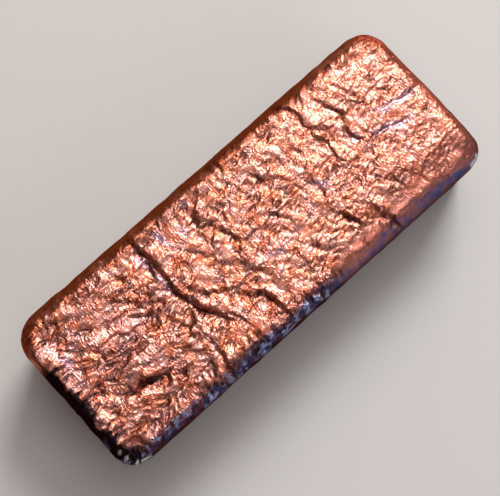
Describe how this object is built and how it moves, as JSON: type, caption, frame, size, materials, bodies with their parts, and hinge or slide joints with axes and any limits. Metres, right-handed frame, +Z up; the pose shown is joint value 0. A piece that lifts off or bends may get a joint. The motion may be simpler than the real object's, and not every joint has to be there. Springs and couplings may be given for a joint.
{
  "type": "copper ingot",
  "caption": "Cast copper ingot: a drafted bar with rounded corners, base and rim, and a wrinkled, folded pour face on top. Raw stock for melting or forging.",
  "frame": {"origin": "middle of the flat base, on the surface that the ingot rests on", "axes": "+X along the bar, +Y across it, +Z up out of the pour face"},
  "size_m": [0.136, 0.052, 0.032],
  "materials": {
    "copper": "as-cast copper skin, satin, with brown, violet and black oxide"
  },
  "bodies": {
    "root": {"ingot": "copper"}
  },
  "joints": []
}
